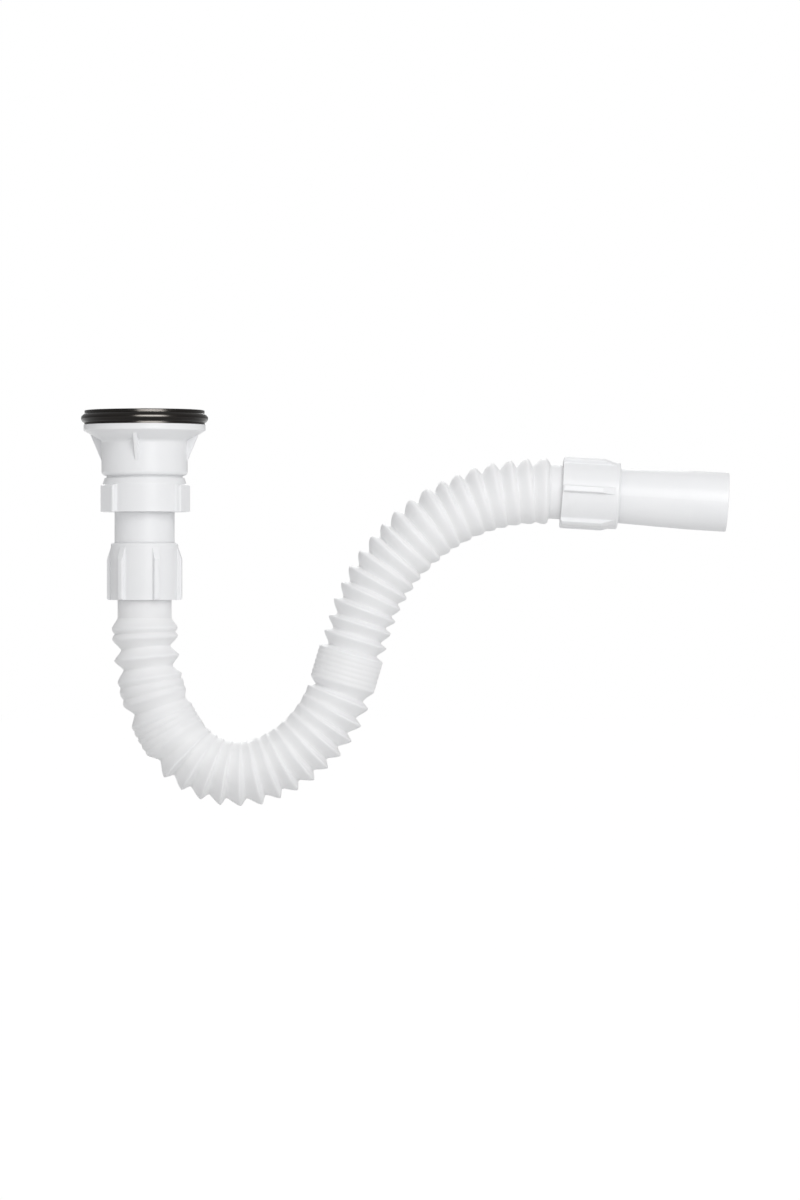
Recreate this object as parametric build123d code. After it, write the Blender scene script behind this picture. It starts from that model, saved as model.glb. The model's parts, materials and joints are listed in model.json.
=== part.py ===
from build123d import *
import os

# A flexible basin trap, upright as it hangs under a basin, in millimetres with +Z up.
# The origin is on the inlet's axis, in the plane where the gasket meets the basin's underside.

# Fits
running_gap = 0.3
thread_gap = 0.15
press_gap = 0.05

# Tail tube, the pipe size that the nuts and seals around it follow
tail_d = 33.0
tail_wall = 2.2
tail_entry = 13.5
tail_lead = 0.8
tail_show = 17.0

# Waste body: threaded neck, cup, flange, gussets and hub
neck_wall = 3.85
neck_h = 12.5
neck_lead = 1.8
cup_step = 2.75
cup_h = 28.0
cup_wall = 2.3
cup_round = 2.2
bore_slope_h = 2.6
flange_reach = 9.8
flange_rim = 3.2
flange_edge = 0.8
flare_h = 5.6
hub_wall = 2.0
hub_h = 14.0
hub_drop = 2.0
spoke_count = 4
spoke_t = 2.4
spoke_h = 8.0
gusset_count = 4
gusset_t = 2.0
gusset_inset = 2.5
gusset_h = 17.0
gusset_angle = -7.6

# Rubber seals at the basin
gasket_overhang = 1.4
gasket_w = 8.4
gasket_t = 6.0
gasket_bead = 1.3
gasket_lip_h = 1.2
gasket_lip_inset = 1.8
seal_inset = 1.9
seal_w = 8.0
seal_t = 0.8
seal_lip_h = 2.0
seal_lip_w = 1.0
seal_edge = 0.33

# Steel strainer, its screw and the brass insert pressed into the hub
sheet_t = 0.9
sheet_bend = 1.1
dish_inset = 2.5
dish_slope = 3.0
dish_depth = 4.4
drain_hole_d = 5.2
drain_hole_count = 10
drain_inset = 5.5
screw_d = 6.0
screw_head_d = 11.0
screw_head_h = 2.4
screw_head_round = 1.2
screw_point = 0.75
screw_length = 22.0
slot_w = 1.4
slot_depth = 1.2
insert_wall = 1.35
insert_h = 10.0

# Slip nut on the neck, with its cone washer and slip ring
slip_nut_wall = 1.85
slip_nut_h = 18.7
slip_nut_floor = 3.0
slip_collar_step = 1.2
slip_collar_h = 3.4
slip_lug_rise = 2.1
slip_lug_w = 12.6
slip_lug_count = 3
slip_lug_angle = -24.0
slip_edge = 1.1
packing_w = 3.4
cone_t = 2.9
slip_ring_t = 1.5

# Union nuts at both ends of the hose, with their flat washers
union_l = 31.4
union_wall = 1.7
union_floor = 2.6
union_rib_rise = 2.4
union_rib_w = 3.4
union_rib_count = 6
union_rib_start = 2.2
union_rib_lead = 7.0
union_edge = 0.8
inlet_nut_angle = -8.0
outlet_nut_angle = -6.2
washer_t = 2.0
washer_inset = 0.2

# Hose: plain cuffs with collars, and folds between them
collar_t = 2.0
collar_step = 1.45
hose_wall = 1.2
crest_rise = 3.15
root_drop = 1.35
inlet_cuff = 9.8
outlet_cuff = 7.0
closed_pitch = 2.8
# Each run counts some open folds, then some that are pushed shut behind the last crest.
# Those near the inlet are drawn out evenly, and the rest lean to the outlet.
# The last run takes what length is left.
inlet_fold_counts = ((1, 2), (2, 4), (1, 5))
inlet_fold_pitch = 11.0
inlet_lean_ratio = 0.5
sump_fold_counts = ((15, 6),)
sump_fold_pitch = 8.0
outlet_fold_counts = ((18, 0),)
outlet_lean_ratio = 0.72

# Line of the hose from the inlet to the outlet, as radii and turns in degrees
inlet_lead = 0.9
drop_radius = 190.0
drop_angle = 9.0
knee_radius = 88.5
knee_angle = 27.0
sump_radius = 41.5
sump_angle = 73.5
lift_radius = 68.0
lift_angle = 54.0
rise_run = 37.0
crown_radius = 101.8
outlet_fall_angle = 3.5

# Outlet spigot
spigot_d = 32.4
spigot_neck_step = 1.45
spigot_taper = 38.0
spigot_land = 21.4
spigot_wall = 2.0
spigot_recess = 0.8
spigot_step = 1.2
spigot_edge = 0.5

# Levels that the pieces share
flange_top = -gasket_t
cup_base = flange_top - cup_h
neck_end = cup_base - neck_h
hub_top = flange_top - hub_drop
slip_nut_base = neck_end - cone_t - slip_ring_t - slip_nut_floor
slip_nut_top = slip_nut_base + slip_nut_h
inlet_face = slip_nut_base - tail_show - union_l
union_seat = union_floor + collar_t
union_land = union_seat + washer_t
strainer_floor = seal_t - dish_depth

# Radii that the pieces share, outwards from the tail tube
tail_r = tail_d / 2
tail_room = tail_r + running_gap
packing_r = tail_room + packing_w
neck_bore = tail_room + running_gap
neck_r = neck_bore + neck_wall
cup_r = neck_r + cup_step
cup_bore = cup_r - cup_wall
flange_r = cup_r + flange_reach
gasket_r = flange_r + gasket_overhang
gasket_bore = gasket_r - gasket_w
seal_r = gasket_r - seal_inset
seal_bore = seal_r - seal_w
screw_r = screw_d / 2
insert_r = screw_r + thread_gap + insert_wall
collar_r = tail_r - washer_inset
cuff_r = collar_r - collar_step
cuff_bore = cuff_r - hose_wall
crest_r = cuff_r + crest_rise
root_r = cuff_r - root_drop


# A solid turned about Z from points of radius, height and, where a corner is rounded, its rounding
def turned(*outline):
    face = Face(Wire.make_polygon([(point[0], point[1]) for point in outline]))
    for radius, height, *rounding in outline:
        if rounding:
            corner = face.vertices().sort_by_distance((radius, height))[0]
            face = face.fillet_2d(rounding[0], [corner])
    return revolve(Plane.XZ * face, Axis.Z)


# A plain tube on Z, between two levels
def tube(outer_radius, inner_radius, low, high):
    return turned((inner_radius, low), (outer_radius, low), (outer_radius, high), (inner_radius, high))


# Upright plates through the axis, evenly spaced, between two levels
def plates(count, thickness, reach, low, high, clock=0):
    plate = Pos(0, 0, low) * Box(reach, thickness, high - low, align=(Align.MIN, Align.CENTER, Align.MIN))
    return Part() + [Rot(0, 0, clock + 360 * i / count) * plate for i in range(count)]


# Round bar section with evenly spaced ribs, corners eased
def ribbed_section(radius, rib_radius, rib_width, count, clock, easing):
    rib = Rectangle(rib_radius, rib_width, align=(Align.MIN, Align.CENTER))
    section = Circle(radius) + [Rot(0, 0, clock + 360 * i / count) * rib for i in range(count)]
    return fillet(section.vertices(), easing)


# Thick rubber ring with a round bead and a narrower foot
def make_gasket():
    rim = gasket_r - gasket_bead
    foot = gasket_r - gasket_lip_inset
    bead_base = gasket_lip_h - gasket_t
    bead = ThreePointArc((rim, 0), (gasket_r, bead_base / 2), (rim, bead_base))
    rest = Polyline(
        (rim, bead_base),
        (foot, bead_base),
        (foot, flange_top),
        (gasket_bore, flange_top),
        (gasket_bore, 0),
        (rim, 0),
    )
    return revolve(Plane.XZ * make_face([bead, rest]), Axis.Z)


# Thin rubber ring whose lip stands up round the strainer's rim
def make_strainer_seal():
    lip = seal_r - seal_lip_w
    return turned(
        (seal_bore, 0),
        (seal_r, 0, seal_edge),
        (seal_r, seal_lip_h, seal_edge),
        (lip, seal_lip_h, seal_edge),
        (lip, seal_t),
        (seal_bore, seal_t),
    )


# Dished steel sheet with a ring of drain holes
def make_strainer():
    rim = seal_r - seal_lip_w - running_gap
    dish = seal_bore - dish_inset
    floor = dish - dish_slope
    hole = screw_r + running_gap
    sheet = turned(
        (rim, seal_t),
        (dish, seal_t, sheet_bend),
        (floor, strainer_floor, sheet_bend),
        (hole, strainer_floor),
        (hole, strainer_floor + sheet_t),
        (floor, strainer_floor + sheet_t, sheet_bend),
        (dish, seal_t + sheet_t, sheet_bend),
        (rim, seal_t + sheet_t),
    )
    drain = Pos(0, 0, strainer_floor) * Cylinder(drain_hole_d / 2, dish_depth)
    return sheet - PolarLocations(floor - drain_inset, drain_hole_count) * drain


# Slotted screw whose head bears on the strainer's floor
def make_strainer_screw():
    seat = strainer_floor + sheet_t
    head = seat + screw_head_h
    screw = turned(
        (0, seat - screw_length),
        (screw_r, seat - screw_length, screw_point),
        (screw_r, seat),
        (screw_head_d / 2, seat),
        (screw_head_d / 2, head, screw_head_round),
        (0, head),
    )
    slot = Pos(0, 0, head) * Box(screw_head_d, slot_w, 2 * slot_depth)
    return screw - slot


# Moulded flange and cup with gussets outside, and a hub on spokes inside
def make_waste_body():
    rim_base = flange_top - flange_rim
    flare_base = rim_base - flare_h
    gusset_base = rim_base - gusset_h
    outside = turned(
        (0, flange_top),
        (flange_r, flange_top),
        (flange_r, rim_base, flange_edge),
        (cup_r, flare_base, cup_round),
        (cup_r, cup_base, cup_round),
        (neck_r, cup_base),
        (neck_r, neck_end),
        (0, neck_end),
    )
    hollow = turned(
        (0, flange_top),
        (gasket_bore, flange_top),
        (cup_bore, flare_base, cup_round),
        (cup_bore, cup_base + bore_slope_h),
        (neck_bore, cup_base),
        (neck_bore, neck_end + neck_lead),
        (neck_bore + neck_lead, neck_end),
        (0, neck_end),
    )
    gusset_room = turned(
        (0, rim_base),
        (flange_r - gusset_inset, rim_base),
        (cup_r, gusset_base),
        (0, gusset_base),
    )
    gussets = plates(gusset_count, gusset_t, flange_r, gusset_base, rim_base, gusset_angle) & gusset_room
    spokes = plates(spoke_count, spoke_t, flange_r, hub_top - spoke_h, hub_top) & outside
    hub_r = insert_r + hub_wall
    hub = turned((0, hub_top - hub_h), (hub_r, hub_top - hub_h), (hub_r, hub_top), (0, hub_top))
    pocket = turned(
        (0, hub_top),
        (insert_r + press_gap, hub_top),
        (insert_r + press_gap, hub_top - insert_h),
        (screw_r + running_gap, hub_top - insert_h),
        (screw_r + running_gap, hub_top - hub_h),
        (0, hub_top - hub_h),
    )
    return outside + gussets - hollow + spokes + hub - pocket


# Threaded sleeve in the hub
def make_nut_insert():
    return tube(insert_r, screw_r + thread_gap, hub_top - insert_h, hub_top)


# Rubber cone whose nose seals between the neck's lead-in and the tail tube
def make_cone_washer():
    nose = neck_lead - thread_gap
    return turned(
        (tail_room, neck_end - cone_t),
        (packing_r, neck_end - cone_t),
        (packing_r, neck_end),
        (neck_bore + nose, neck_end),
        (neck_bore, neck_end + nose),
        (tail_room, neck_end + nose),
    )


# Plain ring that lets the slip nut turn without dragging the cone washer
def make_slip_ring():
    high = neck_end - cone_t
    return tube(packing_r, tail_room, high - slip_ring_t, high)


# Slip nut with a domed collar and a few broad lugs
def make_slip_nut():
    thread_r = neck_r + running_gap
    body_r = thread_r + slip_nut_wall
    lug_r = body_r + slip_lug_rise
    collar_base = slip_nut_top - slip_collar_h
    section = ribbed_section(body_r, lug_r, slip_lug_w, slip_lug_count, slip_lug_angle, slip_edge)
    blank = Pos(0, 0, slip_nut_base) * extrude(section, slip_nut_h)
    envelope = turned(
        (0, slip_nut_base),
        (lug_r + slip_edge, slip_nut_base, slip_edge),
        (lug_r + slip_edge, collar_base - slip_edge, slip_edge),
        (body_r, collar_base),
        (body_r - slip_collar_step, slip_nut_top),
        (0, slip_nut_top),
    )
    floor = slip_nut_base + slip_nut_floor
    hollow = turned(
        (0, slip_nut_base),
        (tail_room, slip_nut_base),
        (tail_room, floor),
        (thread_r, floor),
        (thread_r, slip_nut_top),
        (0, slip_nut_top),
    )
    return (blank & envelope) - hollow


# Tail tube from inside the neck to the union washer
def make_tailpiece():
    inner = tail_r - tail_wall
    low = inlet_face + union_land
    high = neck_end + tail_entry
    return turned(
        (inner, low),
        (tail_r, low),
        (tail_r, high - tail_lead),
        (tail_r - tail_lead, high),
        (inner, high),
    )


# Union nut in its own frame: the hose leaves downwards from its face at zero height
def make_union_nut(clock):
    body_r = tail_room + union_wall
    rib_r = body_r + union_rib_rise
    rib_top = union_l - union_rib_start
    section = ribbed_section(body_r, rib_r, union_rib_w, union_rib_count, clock, union_edge)
    envelope = turned(
        (0, 0),
        (rib_r - union_edge, 0),
        (rib_r, union_edge),
        (rib_r, rib_top - union_rib_lead),
        (body_r, rib_top),
        (body_r, union_l - union_edge),
        (body_r - union_edge, union_l),
        (0, union_l),
    )
    cuff_room = cuff_r + running_gap
    hollow = turned(
        (0, 0),
        (cuff_room, 0),
        (cuff_room, union_floor),
        (tail_room, union_floor),
        (tail_room, union_l),
        (0, union_l),
    )
    return (extrude(section, union_l) & envelope) - hollow


# Flat union washer in the same frame
def make_union_washer():
    return tube(collar_r, cuff_bore, union_seat, union_land)


# Collar and cuff of the hose in the same frame, the cuff reaching out of the nut
def make_hose_end(cuff_length):
    cuff = tube(cuff_r, cuff_bore, -cuff_length, union_seat)
    collar = tube(collar_r, cuff_bore, union_floor, union_seat)
    return cuff + collar


# Middle line of the hose, from the inlet nut's face to the outlet nut's face
def make_hose_line():
    start = Vector(0, inlet_face)
    runs = [Line(start, start - Vector(0, inlet_cuff + inlet_lead))]
    lower_bends = (
        (drop_radius, drop_angle),
        (knee_radius, knee_angle),
        (sump_radius, sump_angle),
        (lift_radius, lift_angle),
    )
    for radius, turn in lower_bends:
        runs.append(JernArc(runs[-1] @ 1, runs[-1] % 1, radius, turn))
    runs.append(Line(runs[-1] @ 1, runs[-1] @ 1 + (runs[-1] % 1) * rise_run))
    climb = sum(turn for _, turn in lower_bends) - 90
    runs.append(JernArc(runs[-1] @ 1, runs[-1] % 1, crown_radius, -(climb + outlet_fall_angle)))
    runs.append(Line(runs[-1] @ 1, runs[-1] @ 1 + (runs[-1] % 1) * outlet_cuff))
    return Plane.XZ * Wire([edge for run in runs for edge in run.edges()])


# Each run's open and shut folds, with the pitch and lean of those that are open
def fold_runs(length):
    drawn = [(*counts, inlet_fold_pitch, inlet_lean_ratio) for counts in inlet_fold_counts]
    drawn += [(*counts, sump_fold_pitch, outlet_lean_ratio) for counts in sump_fold_counts]
    taken = sum(opened * pitch + closed * closed_pitch for opened, closed, pitch, _ in drawn)
    left = length - inlet_cuff - taken - outlet_cuff
    outlet_closed = sum(closed for _, closed in outlet_fold_counts)
    outlet_open = sum(opened for opened, _ in outlet_fold_counts)
    outlet_fold_pitch = (left - outlet_closed * closed_pitch) / outlet_open
    return drawn + [(*counts, outlet_fold_pitch, outlet_lean_ratio) for counts in outlet_fold_counts]


# Stations along the hose and the outer radius at each: up a flank to a crest, then down to a root
def fold_stations(length):
    station = inlet_cuff
    stations = [(station, cuff_r)]
    for opened, closed, pitch, lean in fold_runs(length):
        for fold in range(opened):
            station += lean * pitch
            stations.append((station, crest_r))
            if closed and fold == opened - 1:
                station += closed * closed_pitch
                stations.append((station, crest_r))
            station += (1 - lean) * pitch
            stations.append((station, root_r))
    stations[-1] = (station, cuff_r)
    return stations


# One moulded hose: folds lofted through rings on the middle line, with a cuff and collar at each end
def make_hose(line, inlet, outlet):
    rings = []
    for station, radius in fold_stations(line.length):
        place = Plane(
            origin=line.position_at(station, PositionMode.LENGTH),
            x_dir=(0, 1, 0),
            z_dir=line.tangent_at(station, PositionMode.LENGTH),
        )
        rings.append(place * (Circle(radius) - Circle(radius - hose_wall)))
    folds = loft(rings, ruled=True)
    return folds + inlet * make_hose_end(inlet_cuff) + outlet * make_hose_end(outlet_cuff)


# Outlet spigot in the union frame: threaded end, neck, taper and a straight land for the waste pipe
def make_spigot():
    throat_r = tail_r - spigot_neck_step
    land_r = spigot_d / 2
    thread_end = union_l - spigot_recess
    taper_end = thread_end + spigot_step + spigot_taper
    mouth = taper_end + spigot_land
    return turned(
        (throat_r - spigot_wall, union_land),
        (tail_r, union_land),
        (tail_r, thread_end),
        (throat_r, thread_end + spigot_step),
        (land_r, taper_end),
        (land_r, mouth, spigot_edge),
        (land_r - spigot_wall, mouth, spigot_edge),
        (land_r - spigot_wall, taper_end),
        (throat_r - spigot_wall, thread_end + spigot_step),
    )


hose_line = make_hose_line()
inlet_frame = Pos(0, 0, inlet_face)
outlet_frame = Plane(origin=hose_line @ 1, x_dir=(0, -1, 0), z_dir=hose_line % 1)

nodes = {
    "basin_gasket": make_gasket(),
    "strainer_seal": make_strainer_seal(),
    "strainer": make_strainer(),
    "strainer_screw": make_strainer_screw(),
    "waste_body": make_waste_body(),
    "nut_insert": make_nut_insert(),
    "cone_washer": make_cone_washer(),
    "slip_ring": make_slip_ring(),
    "waste_nut": make_slip_nut(),
    "tailpiece": make_tailpiece(),
    "inlet_nut": inlet_frame * make_union_nut(inlet_nut_angle),
    "inlet_washer": inlet_frame * make_union_washer(),
    "corrugated_hose": make_hose(hose_line, inlet_frame, outlet_frame),
    "outlet_washer": outlet_frame * make_union_washer(),
    "outlet_nut": outlet_frame * make_union_nut(outlet_nut_angle),
    "outlet_spigot": outlet_frame * make_spigot(),
}

os.makedirs("parts", exist_ok=True)
for name, shape in nodes.items():
    export_step(shape, f"parts/{name}.step")

print("hose length", round(hose_line.length, 2))
print("outlet face", outlet_frame.origin, "direction", outlet_frame.z_dir)
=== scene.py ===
import bpy
import json
from math import cos, pi, radians, sin
from mathutils import Matrix, Vector


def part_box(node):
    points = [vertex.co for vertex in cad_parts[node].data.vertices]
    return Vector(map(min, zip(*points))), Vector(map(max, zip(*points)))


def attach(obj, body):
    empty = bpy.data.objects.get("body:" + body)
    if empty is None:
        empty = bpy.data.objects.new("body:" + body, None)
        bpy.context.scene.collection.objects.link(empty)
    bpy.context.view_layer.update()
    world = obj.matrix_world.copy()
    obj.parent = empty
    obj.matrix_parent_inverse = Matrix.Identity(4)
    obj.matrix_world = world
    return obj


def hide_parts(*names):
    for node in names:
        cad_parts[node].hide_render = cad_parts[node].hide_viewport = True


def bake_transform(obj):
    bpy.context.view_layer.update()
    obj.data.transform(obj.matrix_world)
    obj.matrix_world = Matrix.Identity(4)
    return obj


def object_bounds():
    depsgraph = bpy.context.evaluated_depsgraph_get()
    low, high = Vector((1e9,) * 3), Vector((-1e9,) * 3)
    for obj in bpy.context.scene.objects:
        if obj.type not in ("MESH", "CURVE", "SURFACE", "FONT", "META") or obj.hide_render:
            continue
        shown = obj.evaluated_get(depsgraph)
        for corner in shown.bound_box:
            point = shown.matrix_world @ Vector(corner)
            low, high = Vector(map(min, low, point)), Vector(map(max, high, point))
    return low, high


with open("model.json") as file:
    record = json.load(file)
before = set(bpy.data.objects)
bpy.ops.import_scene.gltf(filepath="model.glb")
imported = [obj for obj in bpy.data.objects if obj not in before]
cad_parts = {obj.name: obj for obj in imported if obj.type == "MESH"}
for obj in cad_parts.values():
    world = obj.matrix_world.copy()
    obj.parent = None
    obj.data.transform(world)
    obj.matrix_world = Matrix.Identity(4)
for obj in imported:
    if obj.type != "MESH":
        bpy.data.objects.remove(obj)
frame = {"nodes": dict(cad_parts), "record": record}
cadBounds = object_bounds()
nodes = frame["nodes"]
mm = 0.001
print("frame loaded:", len(nodes), "nodes")


# Small helpers for node trees

def addNode(tree, kind, place=(0, 0), **settings):
    node = tree.nodes.new(kind)
    node.location = place
    for name, value in settings.items():
        setattr(node, name, value)
    return node


def wire(tree, source, target):
    tree.links.new(source, target)


def setSockets(node, values):
    for name, value in values.items():
        node.inputs[name].default_value = value


def addSocket(tree, name, kind, default=None, inOut="INPUT"):
    socket = tree.interface.new_socket(name=name, in_out=inOut, socket_type=kind)
    if default is not None:
        socket.default_value = default


def mathNode(tree, operation, first, second=None, third=None):
    node = addNode(tree, "ShaderNodeMath", operation=operation)
    for socket, value in zip(node.inputs, (first, second, third)):
        if value is None:
            continue
        if isinstance(value, (int, float)):
            socket.default_value = value
        else:
            wire(tree, value, socket)
    return node.outputs[0]


def mixNode(tree, factor, low, high):
    node = addNode(tree, "ShaderNodeMix", data_type="FLOAT")
    wire(tree, factor, node.inputs["Factor"])
    wire(tree, low, node.inputs[2])
    wire(tree, high, node.inputs[3])
    return node.outputs[0]


# Shader groups shared by several finishes

mouldSkin = {
    "grainDetail": 3.0, "grainRough": 0.62,
    "mottleDetail": 4.0, "mottleRough": 0.55,
}


def buildMouldGrain():
    # fine moulded skin: a height for bump and a slow mottle
    tree = bpy.data.node_groups.new("mouldGrain", "ShaderNodeTree")
    addSocket(tree, "Vector", "NodeSocketVector")
    addSocket(tree, "Grain Scale", "NodeSocketFloat")
    addSocket(tree, "Mottle Scale", "NodeSocketFloat")
    addSocket(tree, "Height", "NodeSocketFloat", inOut="OUTPUT")
    addSocket(tree, "Mottle", "NodeSocketFloat", inOut="OUTPUT")
    given = addNode(tree, "NodeGroupInput", (-700, 0)).outputs
    out = addNode(tree, "NodeGroupOutput", (500, 0)).inputs
    grain = addNode(tree, "ShaderNodeTexNoise", (-300, 160))
    setSockets(grain, {"Detail": mouldSkin["grainDetail"], "Roughness": mouldSkin["grainRough"]})
    mottle = addNode(tree, "ShaderNodeTexNoise", (-300, -160))
    setSockets(mottle, {"Detail": mouldSkin["mottleDetail"], "Roughness": mouldSkin["mottleRough"]})
    for texture, scale in ((grain, "Grain Scale"), (mottle, "Mottle Scale")):
        wire(tree, given["Vector"], texture.inputs["Vector"])
        wire(tree, given[scale], texture.inputs["Scale"])
    wire(tree, grain.outputs[0], out["Height"])
    wire(tree, mottle.outputs[0], out["Mottle"])
    return tree


scuff = {
    "stretch": (1.0, 1.0, 0.12), "turn": (0.6, 0.35, 0.2),
    "detail": 5.0, "rough": 0.7, "cutFrom": 0.62, "cutTo": 0.78,
}


def buildHandlingMarks():
    # thin scuffs from handling, as a mask: stretched noise cut to a few streaks
    tree = bpy.data.node_groups.new("handlingMarks", "ShaderNodeTree")
    addSocket(tree, "Vector", "NodeSocketVector")
    addSocket(tree, "Scale", "NodeSocketFloat")
    addSocket(tree, "Amount", "NodeSocketFloat")
    addSocket(tree, "Mask", "NodeSocketFloat", inOut="OUTPUT")
    given = addNode(tree, "NodeGroupInput", (-900, 0)).outputs
    out = addNode(tree, "NodeGroupOutput", (500, 0)).inputs
    stretch = addNode(tree, "ShaderNodeMapping", (-650, 0))
    setSockets(stretch, {"Scale": scuff["stretch"], "Rotation": scuff["turn"]})
    streak = addNode(tree, "ShaderNodeTexNoise", (-400, 0))
    setSockets(streak, {"Detail": scuff["detail"], "Roughness": scuff["rough"]})
    cut = addNode(tree, "ShaderNodeMapRange", (-150, 0), clamp=True)
    setSockets(cut, {"From Min": scuff["cutFrom"], "From Max": scuff["cutTo"]})
    wire(tree, given["Vector"], stretch.inputs["Vector"])
    wire(tree, stretch.outputs[0], streak.inputs["Vector"])
    wire(tree, given["Scale"], streak.inputs["Scale"])
    wire(tree, streak.outputs[0], cut.inputs["Value"])
    wire(tree, mathNode(tree, "MULTIPLY", cut.outputs[0], given["Amount"]), out["Mask"])
    return tree


mouldGrain = buildMouldGrain()
handlingMarks = buildHandlingMarks()
glowReach = 4 * mm  # how far light travels inside a plastic wall


def makeFinish(name, look):
    # one moulded or worked surface: two tones by mottle, scuffs, roughness and fine bump
    material = bpy.data.materials.new(name)
    material.use_nodes = True
    tree = material.node_tree
    shader = tree.nodes["Principled BSDF"]
    coordinates = addNode(tree, "ShaderNodeTexCoord", (-1200, 0))
    grain = addNode(tree, "ShaderNodeGroup", (-900, 120), node_tree=mouldGrain)
    marks = addNode(tree, "ShaderNodeGroup", (-900, -160), node_tree=handlingMarks)
    for group in (grain, marks):
        wire(tree, coordinates.outputs["Object"], group.inputs["Vector"])
    setSockets(grain, {"Grain Scale": look["grainScale"], "Mottle Scale": look["mottleScale"]})
    setSockets(marks, {"Scale": look["markScale"], "Amount": look["markAmount"]})
    tone = addNode(tree, "ShaderNodeMix", (-500, 220), data_type="RGBA")
    setSockets(tone, {"A": (*look["tone"], 1), "B": (*look["toneDeep"], 1)})
    wire(tree, grain.outputs["Mottle"], tone.inputs["Factor"])
    marked = addNode(tree, "ShaderNodeMix", (-280, 220), data_type="RGBA")
    setSockets(marked, {"B": (*look["markTone"], 1)})
    wire(tree, marks.outputs["Mask"], marked.inputs["Factor"])
    wire(tree, tone.outputs["Result"], marked.inputs["A"])
    wire(tree, marked.outputs["Result"], shader.inputs["Base Color"])
    rough = mathNode(tree, "MULTIPLY_ADD", grain.outputs["Mottle"], look["roughSpread"], look["rough"])
    rough = mathNode(tree, "MULTIPLY_ADD", marks.outputs["Mask"], look["markRough"], rough)
    wire(tree, rough, shader.inputs["Roughness"])
    bump = addNode(tree, "ShaderNodeBump", (-280, -220))
    setSockets(bump, {"Strength": look["bump"], "Distance": look["bumpDepth"]})
    wire(tree, grain.outputs["Height"], bump.inputs["Height"])
    wire(tree, bump.outputs[0], shader.inputs["Normal"])
    setSockets(shader, {
        "Metallic": look["metal"], "Specular IOR Level": look["gloss"], "Subsurface Weight": look["glow"],
        "Subsurface Radius": (glowReach, glowReach, glowReach), "Subsurface Scale": 1.0,
    })
    return material


whiteMoulding = makeFinish("whiteMoulding", {
    "tone": (0.84, 0.845, 0.855), "toneDeep": (0.79, 0.795, 0.81),
    "markTone": (0.7, 0.7, 0.7), "markScale": 70.0, "markAmount": 0.25, "markRough": 0.15,
    "grainScale": 1400.0, "mottleScale": 45.0, "rough": 0.26, "roughSpread": 0.12,
    "bump": 0.06, "bumpDepth": 0.4 * mm, "metal": 0.0, "gloss": 0.45, "glow": 0.12,
})
blackRubber = makeFinish("blackRubber", {
    "tone": (0.004, 0.003, 0.0025), "toneDeep": (0.01, 0.0075, 0.0055),
    "markTone": (0.1, 0.085, 0.07), "markScale": 90.0, "markAmount": 0.3, "markRough": 0.2,
    "grainScale": 2200.0, "mottleScale": 80.0, "rough": 0.15, "roughSpread": 0.1,
    "bump": 0.1, "bumpDepth": 0.3 * mm, "metal": 0.0, "gloss": 0.26, "glow": 0.0,
})
pressedSteel = makeFinish("pressedSteel", {
    "tone": (0.62, 0.62, 0.63), "toneDeep": (0.5, 0.5, 0.51),
    "markTone": (0.4, 0.39, 0.38), "markScale": 120.0, "markAmount": 0.4, "markRough": 0.2,
    "grainScale": 1600.0, "mottleScale": 60.0, "rough": 0.2, "roughSpread": 0.15,
    "bump": 0.08, "bumpDepth": 0.2 * mm, "metal": 1.0, "gloss": 0.5, "glow": 0.0,
})
turnedBrass = makeFinish("turnedBrass", {
    "tone": (0.65, 0.46, 0.2), "toneDeep": (0.5, 0.34, 0.14),
    "markTone": (0.3, 0.2, 0.09), "markScale": 150.0, "markAmount": 0.4, "markRough": 0.2,
    "grainScale": 2000.0, "mottleScale": 120.0, "rough": 0.28, "roughSpread": 0.15,
    "bump": 0.08, "bumpDepth": 0.2 * mm, "metal": 1.0, "gloss": 0.5, "glow": 0.0,
})

finishes = {
    "white_plastic": whiteMoulding,
    "black_rubber": blackRubber,
    "steel": pressedSteel,
    "brass": turnedBrass,
    "hose_plastic": whiteMoulding,
}
for entry in frame["record"]["subparts"]:
    piece = nodes[entry["node"]]
    piece.data.materials.clear()
    piece.data.materials.append(finishes[entry["material_slot"]])
print("finishes set")


# Hose material: matt blown plastic, with painted light in the folds: the base colour is made lighter down
# in the folds, standing in for light that comes through the thin wall

def makeHosePlastic(look):
    material = makeFinish("hosePlastic", look)
    tree = material.node_tree
    shader = tree.nodes["Principled BSDF"]
    plainTone = shader.inputs["Base Color"].links[0].from_socket
    # painted light: the base colour is lighter the deeper the point lies in a fold
    depth = addNode(tree, "ShaderNodeAttribute", (-500, 480), attribute_name="foldDepth")
    lighter = mathNode(tree, "MULTIPLY", depth.outputs["Fac"], look["foldGlowShare"])
    tone = addNode(tree, "ShaderNodeMix", (-60, 320), data_type="RGBA")
    setSockets(tone, {"B": (*look["paintedFoldGlow"], 1)})
    wire(tree, lighter, tone.inputs["Factor"])
    wire(tree, plainTone, tone.inputs["A"])
    wire(tree, tone.outputs["Result"], shader.inputs["Base Color"])
    return material


hosePlastic = makeHosePlastic({
    "tone": (0.88, 0.882, 0.893), "toneDeep": (0.86, 0.862, 0.873),
    # the fold tone and its share are painted light: a lighter colour down in the folds that lifts the
    # shade there
    "paintedFoldGlow": (0.95, 0.953, 0.96), "foldGlowShare": 0.75,
    "markTone": (0.78, 0.78, 0.78), "markScale": 60.0, "markAmount": 0.2, "markRough": 0.1,
    "grainScale": 1100.0, "mottleScale": 35.0, "rough": 0.36, "roughSpread": 0.14,
    "bump": 0.08, "bumpDepth": 0.4 * mm, "metal": 0.0, "gloss": 0.4, "glow": 0.3,
})


# Hose: the line of the bends, repeated from the part's sizes, and the folds along it

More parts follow.
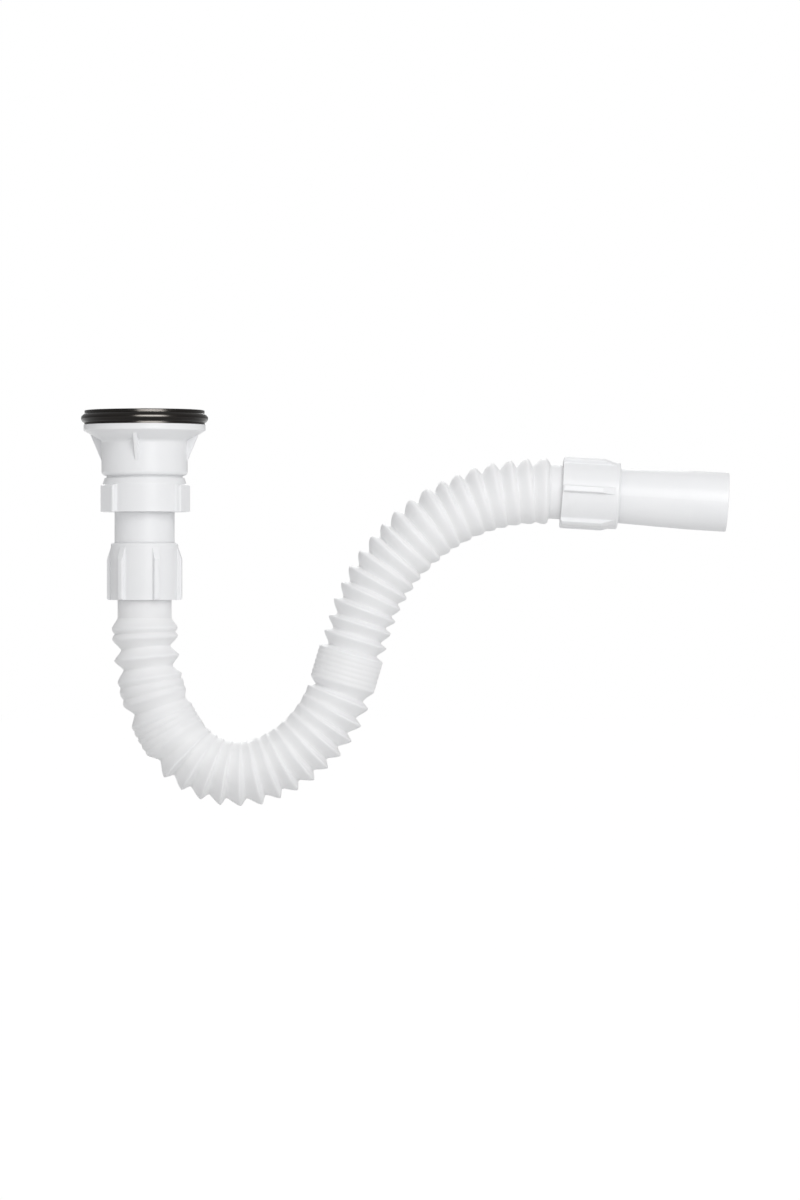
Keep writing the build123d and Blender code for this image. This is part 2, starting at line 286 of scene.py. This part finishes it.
hose = {
    "cuffRadius": 14.85 * mm, "collarRadius": 16.3 * mm,
    "crestRadius": 18.0 * mm, "rootRadius": 13.5 * mm, "wall": 0.9 * mm,
    "inletCuff": 9.8 * mm, "outletCuff": 7.0 * mm, "inletLead": 0.9 * mm,
    "collarStart": 2.6 * mm, "collarEnd": 4.6 * mm, "collarEdge": 0.05 * mm,
    # each bend of the lower half: its radius and its turn in degrees
    "lowerBends": ((190.0 * mm, 9.0), (88.5 * mm, 27.0), (41.5 * mm, 73.5), (68.0 * mm, 54.0)),
    "riseRun": 37.0 * mm, "crownRadius": 101.8 * mm, "outletFall": 3.5,
    # each run of folds: how many are open, and how many are pushed shut on its last crest
    "inletRuns": ((1, 2), (2, 4), (1, 5)), "sumpRuns": ((15, 6),), "outletRuns": ((18, 0),),
    "inletPitch": 11.0 * mm, "sumpPitch": 8.0 * mm, "closedPitch": 2.8 * mm,
    "inletLean": 0.5, "outletLean": 0.72,
    # grooves round the barrel of each run: how many, and how deep
    "grooves": ((1, 1.5 * mm), (2, 1.1 * mm), (4, 0.7 * mm), (6, 0.28 * mm), (0, 0.0)),
    # the second number here is how much of a groove's depth paints light into the hose colour
    "grooveSharpness": 2.0, "grooveGlowShare": 0.6,
    # crests are pointed as far as sharpFrom along the line, and round from roundBy on
    "sharpFrom": 205 * mm, "roundBy": 310 * mm, "softness": 0.45,
    # how a bend shuts the folds on its inner side
    "easing": 8 * mm, "squeezeFrom": 0.17, "squeeze": 14.0, "squeezeMost": 1.2,
    "outletSqueeze": 0.7, "squeezeSpill": 0.45, "closeMost": 0.95,
    # unevenness of a blown pipe
    "wobble": 0.014, "tilt": 0.7 * mm, "dent": 0.22 * mm, "dentScale": 70.0, "dentDetail": 2.0,
    "seed": 7, "step": 0.5 * mm, "around": 56,
    # the stretch that flexes
    "bendStart": (0.1175, 0.0, -0.121), "bendEnd": (0.2205, 0.0, -0.0424),
}


def hoseRuns():
    # each run of the middle line, as (radius or None, length, turn)
    climb = sum(turn for _, turn in hose["lowerBends"]) - 90
    runs = [(None, hose["inletCuff"] + hose["inletLead"], 0.0)]
    for radius, turn in hose["lowerBends"]:
        runs.append((radius, radius * radians(turn), radians(turn)))
    runs.append((None, hose["riseRun"], 0.0))
    crownTurn = radians(climb + hose["outletFall"])
    runs.append((hose["crownRadius"], hose["crownRadius"] * crownTurn, -crownTurn))
    runs.append((None, hose["outletCuff"], 0.0))
    return runs


def hoseLine():
    # the middle line as points a step apart, each (distance, x, z, bend); it also runs up inside both nuts
    straight = (0.0, 0.0)
    collar = (hose["collarStart"] - hose["collarEdge"], hose["collarStart"], hose["collarEnd"])
    x, z, heading = 0.0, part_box("inlet_nut")[0].z, -pi / 2
    points = [(-inside, x, z + inside, straight) for inside in reversed(collar)]
    points.append((0.0, x, z, straight))
    travelled = 0.0
    for radius, length, turn in hoseRuns():
        count = max(1, round(length / hose["step"]))
        for i in range(1, count + 1):
            along = length * i / count
            bend = straight
            if radius is None:
                px = x + along * cos(heading)
                pz = z + along * sin(heading)
            else:
                side = 1 if turn > 0 else -1
                swing = turn * i / count
                centreX = x - side * radius * sin(heading)
                centreZ = z + side * radius * cos(heading)
                px = centreX + side * radius * sin(heading + swing)
                pz = centreZ - side * radius * cos(heading + swing)
                bend = ((centreX - px) / radius ** 2, (centreZ - pz) / radius ** 2)
            points.append((travelled + along, px, pz, bend))
        travelled += length
        x, z, heading = px, pz, heading + turn
    for inside in collar:
        points.append((travelled + inside, x + inside * cos(heading), z + inside * sin(heading), straight))
    outletEnd = Vector((x, 0, z))
    outletHeading = Vector((cos(heading), 0, sin(heading)))
    return points, travelled, outletEnd, outletHeading


linePoints, lineLength, outletFace, outletAhead = hoseLine()


def foldRuns():
    # open folds, shut folds, pitch and lean of each run, as in the part; the last run takes what is left
    drawn = [(*run, hose["inletPitch"], hose["inletLean"]) for run in hose["inletRuns"]]
    drawn += [(*run, hose["sumpPitch"], hose["outletLean"]) for run in hose["sumpRuns"]]
    taken = sum(opened * pitch + shut * hose["closedPitch"] for opened, shut, pitch, _ in drawn)
    left = lineLength - hose["inletCuff"] - taken - hose["outletCuff"]
    outletPitch = left / sum(opened for opened, _ in hose["outletRuns"])
    return drawn + [(*run, outletPitch, hose["outletLean"]) for run in hose["outletRuns"]]


def foldMarks():
    # distance, folds, grooves, rise from root to crest and depth of a groove, at each crest and root
    distance, folds, grooves = hose["inletCuff"], 0, 0
    marks = [(distance, folds, grooves, 0, 0.0)]
    for (opened, shut, pitch, lean), (grooveCount, depth) in zip(foldRuns(), hose["grooves"]):
        for fold in range(opened):
            distance += lean * pitch
            marks.append((distance, folds + 0.5, grooves, 1, depth))
            if shut and fold == opened - 1:
                distance += shut * hose["closedPitch"]
                grooves += grooveCount
                marks.append((distance, folds + 0.5, grooves, 1, depth))
            distance += (1 - lean) * pitch
            folds += 1
            marks.append((distance, folds, grooves, 0, depth))
    return marks


def between(marks, distance):
    for low, high in zip(marks, marks[1:]):
        if distance <= high[0]:
            share = (distance - low[0]) / (high[0] - low[0])
            return [a + (b - a) * share for a, b in zip(low, high)]
    return marks[-1]


def foldColumns(marks):
    # where each point of the line is in the folds
    names = ("foldCount", "grooveCount", "flank", "grooveDepth", "inFolds", "plainRadius", "roundness")
    first, last = marks[0][0], marks[-1][0]
    rows = []
    for distance, _, _, _ in linePoints:
        _, *fold = between(marks, min(max(distance, first), last))
        inFolds = 1.0 if first <= distance <= last else 0.0
        onCollar = min(distance, lineLength - distance) <= -hose["collarStart"]
        plainRadius = hose["collarRadius"] if onCollar else hose["cuffRadius"]
        roundness = (distance - hose["sharpFrom"]) / (hose["roundBy"] - hose["sharpFrom"])
        rows.append((*fold, inFolds, plainRadius, roundness))
    return dict(zip(names, zip(*rows)))


def bendColumns(roundness):
    # the bend as a vector to its inner side, eased over a few folds, and the line itself
    reach = round(hose["easing"] / hose["step"])
    inner, line, ahead = [], [], []
    for i, (_, x, z, _) in enumerate(linePoints):
        before = linePoints[max(0, i - 1)]
        after = linePoints[min(i + 1, len(linePoints) - 1)]
        ahead.extend(Vector((after[1] - before[1], 0.0, after[2] - before[2])).normalized())
        line.extend((x, 0.0, z))
        bends = [bend for _, _, _, bend in linePoints[max(0, i - reach):i + reach + 1]]
        bend = Vector((sum(bx for bx, _ in bends), 0.0, sum(bz for _, bz in bends)))
        bend = bend * hose["crestRadius"] / len(bends)
        towardsOutlet = min(max(roundness[i], 0.0), 1.0)
        closed = max(0.0, bend.length - hose["squeezeFrom"]) * hose["squeeze"]
        closed += hose["outletSqueeze"] * towardsOutlet ** 2
        inner.extend(bend.normalized() * min(closed, hose["squeezeMost"]))
    return {"bendInner": inner, "linePoint": line, "lineAhead": ahead}


def hosePath(marks):
    # polyline that carries what the fold tree reads at each point
    mesh = bpy.data.meshes.new("hosePath")
    edges = [(i, i + 1) for i in range(len(linePoints) - 1)]
    mesh.from_pydata([(x, 0, z) for _, x, z, _ in linePoints], edges, [])
    columns = foldColumns(marks)
    for name, values in columns.items():
        mesh.attributes.new(name, "FLOAT", "POINT").data.foreach_set("value", values)
    for name, values in bendColumns(columns["roundness"]).items():
        mesh.attributes.new(name, "FLOAT_VECTOR", "POINT").data.foreach_set("vector", values)
    path = bpy.data.objects.new("hosePath", mesh)
    bpy.context.scene.collection.objects.link(path)
    return path


def readAttribute(tree, name, kind="FLOAT"):
    node = addNode(tree, "GeometryNodeInputNamedAttribute", data_type=kind)
    setSockets(node, {"Name": name})
    return node.outputs["Attribute"]


def vectorNode(tree, operation, first, second=None, scale=None):
    node = addNode(tree, "ShaderNodeVectorMath", operation=operation)
    wire(tree, first, node.inputs[0])
    if second is not None:
        wire(tree, second, node.inputs[1])
    if scale is not None:
        wire(tree, scale, node.inputs["Scale"])
    return node.outputs["Value" if operation in ("LENGTH", "DOT_PRODUCT") else "Vector"]


def finishTree(tree, geometry, material, target):
    # how every geometry tree ends
    smooth = addNode(tree, "GeometryNodeSetShadeSmooth", (500, 400))
    wire(tree, geometry, smooth.inputs["Geometry"])
    real = addNode(tree, "GeometryNodeRealizeInstances", (700, 400))
    wire(tree, smooth.outputs[0], real.inputs["Geometry"])
    painted = addNode(tree, "GeometryNodeSetMaterial", (900, 400))
    wire(tree, real.outputs[0], painted.inputs["Geometry"])
    wire(tree, material, painted.inputs["Material"])
    wire(tree, painted.outputs[0], target)


def foldLift(tree, given):
    # 0 in a root and 1 on a crest, pointed near the inlet and domed near the outlet
    flank = readAttribute(tree, "flank")
    eased = addNode(tree, "ShaderNodeMapRange", interpolation_type="SMOOTHSTEP")
    wire(tree, flank, eased.inputs["Value"])
    pointed = mixNode(tree, given["Softness"], flank, eased.outputs[0])
    domed = mathNode(tree, "SINE", mathNode(tree, "MULTIPLY", flank, pi / 2))
    roundness = addNode(tree, "ShaderNodeMapRange", interpolation_type="SMOOTHSTEP")
    wire(tree, readAttribute(tree, "roundness"), roundness.inputs["Value"])
    return mixNode(tree, roundness.outputs[0], pointed, domed)


def barrelGroove(tree):
    # folds pushed shut show as narrow grooves round a barrel: 1 down in a groove, 0 between two
    part = mathNode(tree, "FRACT", readAttribute(tree, "grooveCount"))
    away = mathNode(tree, "ABSOLUTE", mathNode(tree, "MULTIPLY_ADD", part, 2.0, -1.0))
    return mathNode(tree, "POWER", mathNode(tree, "SUBTRACT", 1.0, away), hose["grooveSharpness"])


def foldRadius(tree, given, folds, fromEnd, lift, groove):
    # the first and last roots are the cuffs, which are wider
    atEnd = mathNode(tree, "LESS_THAN", fromEnd, 0.5)
    cuffStep = mathNode(tree, "SUBTRACT", given["Cuff Radius"], given["Root Radius"])
    root = mathNode(tree, "ADD", given["Root Radius"], mathNode(tree, "MULTIPLY", atEnd, cuffStep))
    rising = mathNode(tree, "MULTIPLY", lift, mathNode(tree, "SUBTRACT", given["Crest Radius"], root))
    radius = mathNode(tree, "ADD", root, rising)
    sunk = mathNode(tree, "MULTIPLY", groove, readAttribute(tree, "grooveDepth"))
    radius = mathNode(tree, "SUBTRACT", radius, sunk)
    # no two crests of a blown hose are quite alike
    chance = addNode(tree, "FunctionNodeRandomValue", data_type="FLOAT")
    setSockets(chance, {"Min": -1.0, "Max": 1.0})
    wire(tree, mathNode(tree, "FLOOR", folds), chance.inputs["ID"])
    wire(tree, given["Seed"], chance.inputs["Seed"])
    uneven = mathNode(tree, "MULTIPLY", chance.outputs["Value"], given["Wobble"])
    uneven = mathNode(tree, "MULTIPLY", uneven, lift)
    return mathNode(tree, "MULTIPLY", radius, mathNode(tree, "ADD", uneven, 1.0))


def foldClosing(tree, given, outward, reach):
    # on the inner side of a bend the folds close up, so their roots come nearer to the crests
    bendInner = readAttribute(tree, "bendInner", "FLOAT_VECTOR")
    inner = vectorNode(tree, "DOT_PRODUCT", outward, bendInner)
    strength = vectorNode(tree, "LENGTH", bendInner)
    inner = mathNode(tree, "MULTIPLY_ADD", strength, given["Squeeze Spill"], inner)
    closing = mathNode(tree, "TANH", mathNode(tree, "MAXIMUM", inner, 0.0))
    closing = mathNode(tree, "MULTIPLY", closing, given["Close Most"])
    return mathNode(tree, "MULTIPLY", closing, mathNode(tree, "SUBTRACT", given["Crest Radius"], reach))


def foldLeaning(tree, given, folds, fromEnd, outward):
    # rings lean a little this way and that, changing smoothly from fold to fold
    lower = mathNode(tree, "FLOOR", folds)
    swing = addNode(tree, "ShaderNodeMix", data_type="VECTOR")
    wire(tree, mathNode(tree, "FRACT", folds), swing.inputs["Factor"])
    for index, socket in ((lower, 4), (mathNode(tree, "ADD", lower, 1.0), 5)):
        chance = addNode(tree, "FunctionNodeRandomValue", data_type="FLOAT_VECTOR")
        setSockets(chance, {"Min": (-1, -1, -1), "Max": (1, 1, 1)})
        wire(tree, index, chance.inputs["ID"])
        wire(tree, given["Seed"], chance.inputs["Seed"])
        wire(tree, chance.outputs["Value"], swing.inputs[socket])
    leaning = vectorNode(tree, "DOT_PRODUCT", outward, swing.outputs[1])
    leaning = mathNode(tree, "MULTIPLY", leaning, given["Tilt"])
    leaning = mathNode(tree, "MULTIPLY", leaning, mathNode(tree, "MINIMUM", fromEnd, 1.0))
    return vectorNode(tree, "SCALE", readAttribute(tree, "lineAhead", "FLOAT_VECTOR"), scale=leaning)


def foldDents(tree, given):
    # slight dents, too small to see but in the light
    noise = addNode(tree, "ShaderNodeTexNoise", (100, 100))
    setSockets(noise, {"Scale": hose["dentScale"], "Detail": hose["dentDetail"]})
    return mathNode(tree, "MULTIPLY", mathNode(tree, "SUBTRACT", noise.outputs[0], 0.5), given["Dent"])


def buildFoldTree():
    tree = bpy.data.node_groups.new("hoseFolds", "GeometryNodeTree")
    addSocket(tree, "Geometry", "NodeSocketGeometry")
    for name, key in (
        ("Crest Radius", "crestRadius"), ("Root Radius", "rootRadius"), ("Cuff Radius", "cuffRadius"),
        ("Softness", "softness"), ("Squeeze Spill", "squeezeSpill"), ("Close Most", "closeMost"),
        ("Wobble", "wobble"), ("Tilt", "tilt"), ("Dent", "dent"),
    ):
        addSocket(tree, name, "NodeSocketFloat", hose[key])
    addSocket(tree, "Folds", "NodeSocketFloat")
    addSocket(tree, "Around", "NodeSocketInt", hose["around"])
    addSocket(tree, "Seed", "NodeSocketInt", hose["seed"])
    addSocket(tree, "Material", "NodeSocketMaterial")
    addSocket(tree, "Geometry", "NodeSocketGeometry", inOut="OUTPUT")
    given = addNode(tree, "NodeGroupInput", (-1600, 0)).outputs
    out = addNode(tree, "NodeGroupOutput", (1600, 0)).inputs

    # radius of each ring, and how deep in a fold it is, which the hose colour uses to paint light into the
    # folds
    folds = readAttribute(tree, "foldCount")
    fromEnd = mathNode(tree, "MINIMUM", folds, mathNode(tree, "SUBTRACT", given["Folds"], folds))
    inFolds = readAttribute(tree, "inFolds")
    lift = foldLift(tree, given)
    groove = barrelGroove(tree)
    folded = foldRadius(tree, given, folds, fromEnd, lift, groove)
    plain = mathNode(tree, "SUBTRACT", 1.0, inFolds)
    plain = mathNode(tree, "MULTIPLY", readAttribute(tree, "plainRadius"), plain)
    radius = mathNode(tree, "MULTIPLY_ADD", folded, inFolds, plain)
    depth = mathNode(tree, "MULTIPLY", mathNode(tree, "SUBTRACT", 1.0, lift), inFolds)
    depth = mathNode(tree, "MAXIMUM", depth, mathNode(tree, "MULTIPLY", groove, hose["grooveGlowShare"]))

    # a ring drawn along the line
    path = addNode(tree, "GeometryNodeMeshToCurve", (-600, 400))
    wire(tree, given["Geometry"], path.inputs["Mesh"])
    # the fold depth kept on the points, for the painted light in the hose colour
    keepDepth = addNode(
        tree, "GeometryNodeStoreNamedAttribute", (-400, 400), data_type="FLOAT", domain="POINT",
    )
    setSockets(keepDepth, {"Name": "foldDepth"})
    wire(tree, path.outputs[0], keepDepth.inputs["Geometry"])
    wire(tree, depth, keepDepth.inputs["Value"])
    sized = addNode(tree, "GeometryNodeSetCurveRadius", (-200, 400))
    wire(tree, keepDepth.outputs[0], sized.inputs["Curve"])
    wire(tree, radius, sized.inputs["Radius"])
    ring = addNode(tree, "GeometryNodeCurvePrimitiveCircle", (-200, 200), mode="RADIUS")
    setSockets(ring, {"Radius": 1.0})
    wire(tree, given["Around"], ring.inputs["Resolution"])
    skin = addNode(tree, "GeometryNodeCurveToMesh", (0, 400))
    wire(tree, sized.outputs[0], skin.inputs["Curve"])
    wire(tree, ring.outputs[0], skin.inputs["Profile Curve"])
    wire(tree, addNode(tree, "GeometryNodeInputRadius").outputs[0], skin.inputs["Scale"])

    # points pushed out from the line or along it
    place = addNode(tree, "GeometryNodeInputPosition").outputs[0]
    outward = vectorNode(tree, "SUBTRACT", place, readAttribute(tree, "linePoint", "FLOAT_VECTOR"))
    reach = vectorNode(tree, "LENGTH", outward)
    outward = vectorNode(tree, "NORMALIZE", outward)
    push = mathNode(tree, "ADD", foldDents(tree, given), foldClosing(tree, given, outward, reach))
    push = mathNode(tree, "MULTIPLY", push, inFolds)
    leaning = foldLeaning(tree, given, folds, fromEnd, outward)
    shift = vectorNode(tree, "ADD", vectorNode(tree, "SCALE", outward, scale=push), leaning)
    uneven = addNode(tree, "GeometryNodeSetPosition", (300, 400))
    wire(tree, skin.outputs[0], uneven.inputs["Geometry"])
    wire(tree, shift, uneven.inputs["Offset"])
    finishTree(tree, uneven.outputs[0], given["Material"], out["Geometry"])
    return tree


def setInputs(modifier, values):
    for item in modifier.node_group.interface.items_tree:
        if item.item_type == "SOCKET" and item.in_out == "INPUT" and item.name in values:
            modifier[item.identifier] = values[item.name]


def settled(piece, name):
    # the evaluated result as a plain mesh on a new object, and the working object gone
    graph = bpy.context.evaluated_depsgraph_get()
    mesh = bpy.data.meshes.new_from_object(piece.evaluated_get(graph), depsgraph=graph)
    mesh.name = name
    result = bpy.data.objects.new(name, mesh)
    bpy.context.scene.collection.objects.link(result)
    bpy.data.objects.remove(piece)
    return result


def makeHose():
    marks = foldMarks()
    path = hosePath(marks)
    folds = path.modifiers.new("folds", "NODES")
    folds.node_group = buildFoldTree()
    foldTotal = marks[-1][1]
    setInputs(folds, {"Folds": float(foldTotal), "Material": hosePlastic})
    wall = path.modifiers.new("wall", "SOLIDIFY")
    wall.thickness = hose["wall"]
    wall.offset = -1
    piece = settled(path, "bellowsHose")
    piece.data.materials.clear()
    piece.data.materials.append(hosePlastic)
    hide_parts("corrugated_hose")
    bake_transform(piece)
    return piece


bellows = makeHose()
print("hose made:", len(bellows.data.vertices), "points")


# Threads: a low ridge wound on each threaded end, seen when its nut is run off

thread = {
    "ridge": 0.45 * mm, "ridgeSides": 8, "cornersPerTurn": 64, "clearEnd": 1.4 * mm,
    "proud": 0.18 * mm, "slipPitch": 2.309 * mm, "unionPitch": 3.0 * mm,
    "fineProud": 0.1 * mm, "finePitch": 1.0 * mm,
    "neckRadius": 20.95 * mm, "screwRadius": 3.0 * mm, "screwRun": 14.0 * mm,
    "spigotStart": 6.6 * mm, "spigotEnd": 30.6 * mm,
}


def buildThreadTree():
    tree = bpy.data.node_groups.new("threadRidge", "GeometryNodeTree")
    addSocket(tree, "Geometry", "NodeSocketGeometry")
    for name in ("Radius", "Length", "Turns", "Ridge"):
        addSocket(tree, name, "NodeSocketFloat")
    addSocket(tree, "Corners Per Turn", "NodeSocketInt", thread["cornersPerTurn"])
    addSocket(tree, "Material", "NodeSocketMaterial")
    addSocket(tree, "Geometry", "NodeSocketGeometry", inOut="OUTPUT")
    given = addNode(tree, "NodeGroupInput", (-800, 0)).outputs
    out = addNode(tree, "NodeGroupOutput", (1100, 400)).inputs
    helix = addNode(tree, "GeometryNodeCurveSpiral", (-400, 100))
    for name, source in (
        ("Resolution", "Corners Per Turn"), ("Rotations", "Turns"), ("Height", "Length"),
        ("Start Radius", "Radius"), ("End Radius", "Radius"),
    ):
        wire(tree, given[source], helix.inputs[name])
    ring = addNode(tree, "GeometryNodeCurvePrimitiveCircle", (-400, -200), mode="RADIUS")
    setSockets(ring, {"Resolution": thread["ridgeSides"]})
    wire(tree, given["Ridge"], ring.inputs["Radius"])
    skin = addNode(tree, "GeometryNodeCurveToMesh", (-100, 0))
    setSockets(skin, {"Fill Caps": True})
    wire(tree, helix.outputs[0], skin.inputs["Curve"])
    wire(tree, ring.outputs[0], skin.inputs["Profile Curve"])
    finishTree(tree, skin.outputs[0], given["Material"], out["Geometry"])
    return tree


threadTree = buildThreadTree()


def makeThread(name, body, slot, radius, pitch, proud, start, end):
    # wound from start to end, two points on the thread's axis
    axis = end - start
    holder = bpy.data.objects.new(name + "Holder", bpy.data.meshes.new(name + "Holder"))
    bpy.context.scene.collection.objects.link(holder)
    winding = holder.modifiers.new("winding", "NODES")
    winding.node_group = threadTree
    setInputs(winding, {
        "Radius": radius + proud - thread["ridge"], "Length": axis.length, "Turns": axis.length / pitch,
        "Ridge": thread["ridge"], "Material": finishes[slot],
    })
    piece = settled(holder, name)
    piece.data.transform(Matrix.Translation(start) @ axis.to_track_quat("Z", "Y").to_matrix().to_4x4())
    piece.data.materials.clear()
    piece.data.materials.append(finishes[slot])
    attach(piece, body)


def makeThreads():
    clear = thread["clearEnd"]
    up = Vector((0, 0, 1))
    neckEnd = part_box("waste_body")[0].z
    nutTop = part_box("waste_nut")[1].z
    makeThread("neckThread", "waste", "white_plastic",
               thread["neckRadius"], thread["slipPitch"], thread["proud"],
               up * (neckEnd + clear), up * (nutTop - clear))
    tailLow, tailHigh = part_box("tailpiece")
    makeThread("tailThread", "tail", "white_plastic",
               tailHigh.x, thread["unionPitch"], thread["proud"],
               up * (tailLow.z + clear), up * (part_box("inlet_nut")[1].z - clear))
    makeThread("spigotThread", "spigot", "white_plastic",
               tailHigh.x, thread["unionPitch"], thread["proud"],
               outletFace + outletAhead * (thread["spigotStart"] + clear),
               outletFace + outletAhead * (thread["spigotEnd"] - clear))
    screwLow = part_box("strainer_screw")[0].z
    makeThread("screwThread", "screw", "steel",
               thread["screwRadius"], thread["finePitch"], thread["fineProud"],
               up * (screwLow + clear), up * (screwLow + thread["screwRun"]))


makeThreads()
print("threads made")


# Studio: a pale floor well below, soft lights in front and behind, and a plain white surround

studio = {
    "floorDrop": 0.6, "floorSize": 60.0, "floorTone": 0.8, "floorRough": 0.9,
    "nearFloor": 1.4, "farFloor": 3.0,
    "surroundLow": 0.36, "surroundHigh": 0.76, "surroundSeen": 1.0,
    "lampDistance": 1.5,
    "lamps": {
        "keyLight": {
            "aside": 16.0, "height": 22.0, "power": 10.2, "wide": 0.8, "tall": 1.0,
            "tone": (1.0, 1.0, 1.0), "glintsOn": (),
        },
        "fillLight": {
            "aside": 186.0, "height": 28.0, "power": 5.0, "wide": 0.8, "tall": 1.0,
            "tone": (1.0, 1.0, 1.0), "glintsOn": (),
        },
        "ringLight": {
            "aside": 11.0, "height": 19.0, "power": 100.0, "wide": 1.4, "tall": 0.8,
            "tone": (1.0, 0.93, 0.86), "glintsOn": ("basin_gasket", "strainer_seal"),
        },
    },
}
middle = (cadBounds[0] + cadBounds[1]) / 2
floorLevel = cadBounds[0].z - studio["floorDrop"]


def makePaper():
    # pale paper that fades to white away from the object
    material = bpy.data.materials.new("studioPaper")
    material.use_nodes = True
    tree = material.node_tree
    shader = tree.nodes["Principled BSDF"]
    tone = studio["floorTone"]
    setSockets(shader, {
        "Base Color": (tone, tone, tone, 1), "Roughness": studio["floorRough"],
        "Emission Color": (1, 1, 1, 1),
    })
    coordinates = addNode(tree, "ShaderNodeTexCoord", (-900, 0))
    away = addNode(tree, "ShaderNodeVectorMath", (-700, 0), operation="DISTANCE")
    away.inputs[1].default_value = (middle.x, middle.y, floorLevel)
    lit = tone * (studio["surroundLow"] + 2 * studio["surroundHigh"]) / 3  # by the surround alone
    fade = addNode(tree, "ShaderNodeMapRange", (-450, 0), interpolation_type="SMOOTHSTEP")
    setSockets(fade, {
        "From Min": studio["nearFloor"], "From Max": studio["farFloor"],
        "To Max": studio["surroundSeen"] - lit,
    })
    wire(tree, coordinates.outputs["Object"], away.inputs[0])
    wire(tree, away.outputs["Value"], fade.inputs["Value"])
    wire(tree, fade.outputs[0], shader.inputs["Emission Strength"])
    return material


def makeFloor():
    half = studio["floorSize"] / 2
    corners = [(x * half, y * half, floorLevel) for x, y in ((-1, -1), (1, -1), (1, 1), (-1, 1))]
    mesh = bpy.data.meshes.new("studioFloor")
    mesh.from_pydata(corners, [], [(0, 1, 2, 3)])
    mesh.materials.append(makePaper())
    floorPiece = bpy.data.objects.new("studioFloor", mesh)
    bpy.context.scene.collection.objects.link(floorPiece)


def makeLamp(name, lamp):
    # a large soft box that faces the middle of the trap
    data = bpy.data.lights.new(name, "AREA")
    data.shape = "RECTANGLE"
    data.size = lamp["wide"]
    data.size_y = lamp["tall"]
    data.energy = lamp["power"]
    data.color = lamp["tone"]
    light = bpy.data.objects.new(name, data)
    aside, height = radians(lamp["aside"]), radians(lamp["height"])
    away = Vector((sin(aside) * cos(height), -cos(aside) * cos(height), sin(height)))
    light.location = middle + away * studio["lampDistance"]
    light.rotation_euler = away.to_track_quat("Z", "Y").to_euler()
    light.visible_camera = False
    if lamp["glintsOn"]:
        # a glint on these pieces alone, because it would burn out the white ones
        reached = bpy.data.collections.new(name + "Reached")
        for node in lamp["glintsOn"]:
            reached.objects.link(nodes[node])
        light.light_linking.receiver_collection = reached
        light.visible_diffuse = False
    bpy.context.scene.collection.objects.link(light)


def makeSurround():
    # lights the object more from above than from below, and shows as plain white
    world = bpy.data.worlds.new("surround")
    world.use_nodes = True
    tree = world.node_tree
    background = tree.nodes["Background"]
    setSockets(background, {"Color": (1, 1, 1, 1)})
    direction = addNode(tree, "ShaderNodeTexCoord", (-1000, 0))
    parts = addNode(tree, "ShaderNodeSeparateXYZ", (-800, 0))
    glow = addNode(tree, "ShaderNodeMapRange", (-600, 0))
    setSockets(glow, {"To Min": studio["surroundLow"], "To Max": studio["surroundHigh"]})
    seen = addNode(tree, "ShaderNodeLightPath", (-600, 300))
    strength = addNode(tree, "ShaderNodeMix", (-300, 0), data_type="FLOAT")
    strength.inputs[3].default_value = studio["surroundSeen"]
    wire(tree, direction.outputs["Generated"], parts.inputs[0])
    wire(tree, parts.outputs["Z"], glow.inputs["Value"])
    wire(tree, glow.outputs[0], strength.inputs[2])
    wire(tree, seen.outputs["Is Camera Ray"], strength.inputs["Factor"])
    wire(tree, strength.outputs[0], background.inputs["Strength"])
    bpy.context.scene.world = world


makeFloor()
for lampName, lamp in studio["lamps"].items():
    makeLamp(lampName, lamp)
makeSurround()
bpy.context.scene.view_settings.view_transform = "Standard"
print("studio set")


# Camera: level, square on to the hose's plane, as in the photograph

view = {
    "pixel": 0.55 * mm, "distance": 3.0, "sensor": 36.0,
    "columns": 800, "rows": 1200, "inletColumn": 144.6, "seatRow": 414.0,
}


def makeCamera():
    data = bpy.data.cameras.new("viewCamera")
    data.sensor_width = view["sensor"]
    data.lens = view["sensor"] * view["distance"] / (view["rows"] * view["pixel"])
    camera = bpy.data.objects.new("viewCamera", data)
    across = (view["columns"] / 2 - view["inletColumn"]) * view["pixel"]
    up = (view["seatRow"] - view["rows"] / 2) * view["pixel"]
    camera.location = (across, -view["distance"], up)
    camera.rotation_euler = (pi / 2, 0, 0)
    bpy.context.scene.collection.objects.link(camera)
    bpy.context.scene.camera = camera


makeCamera()
print("camera set")
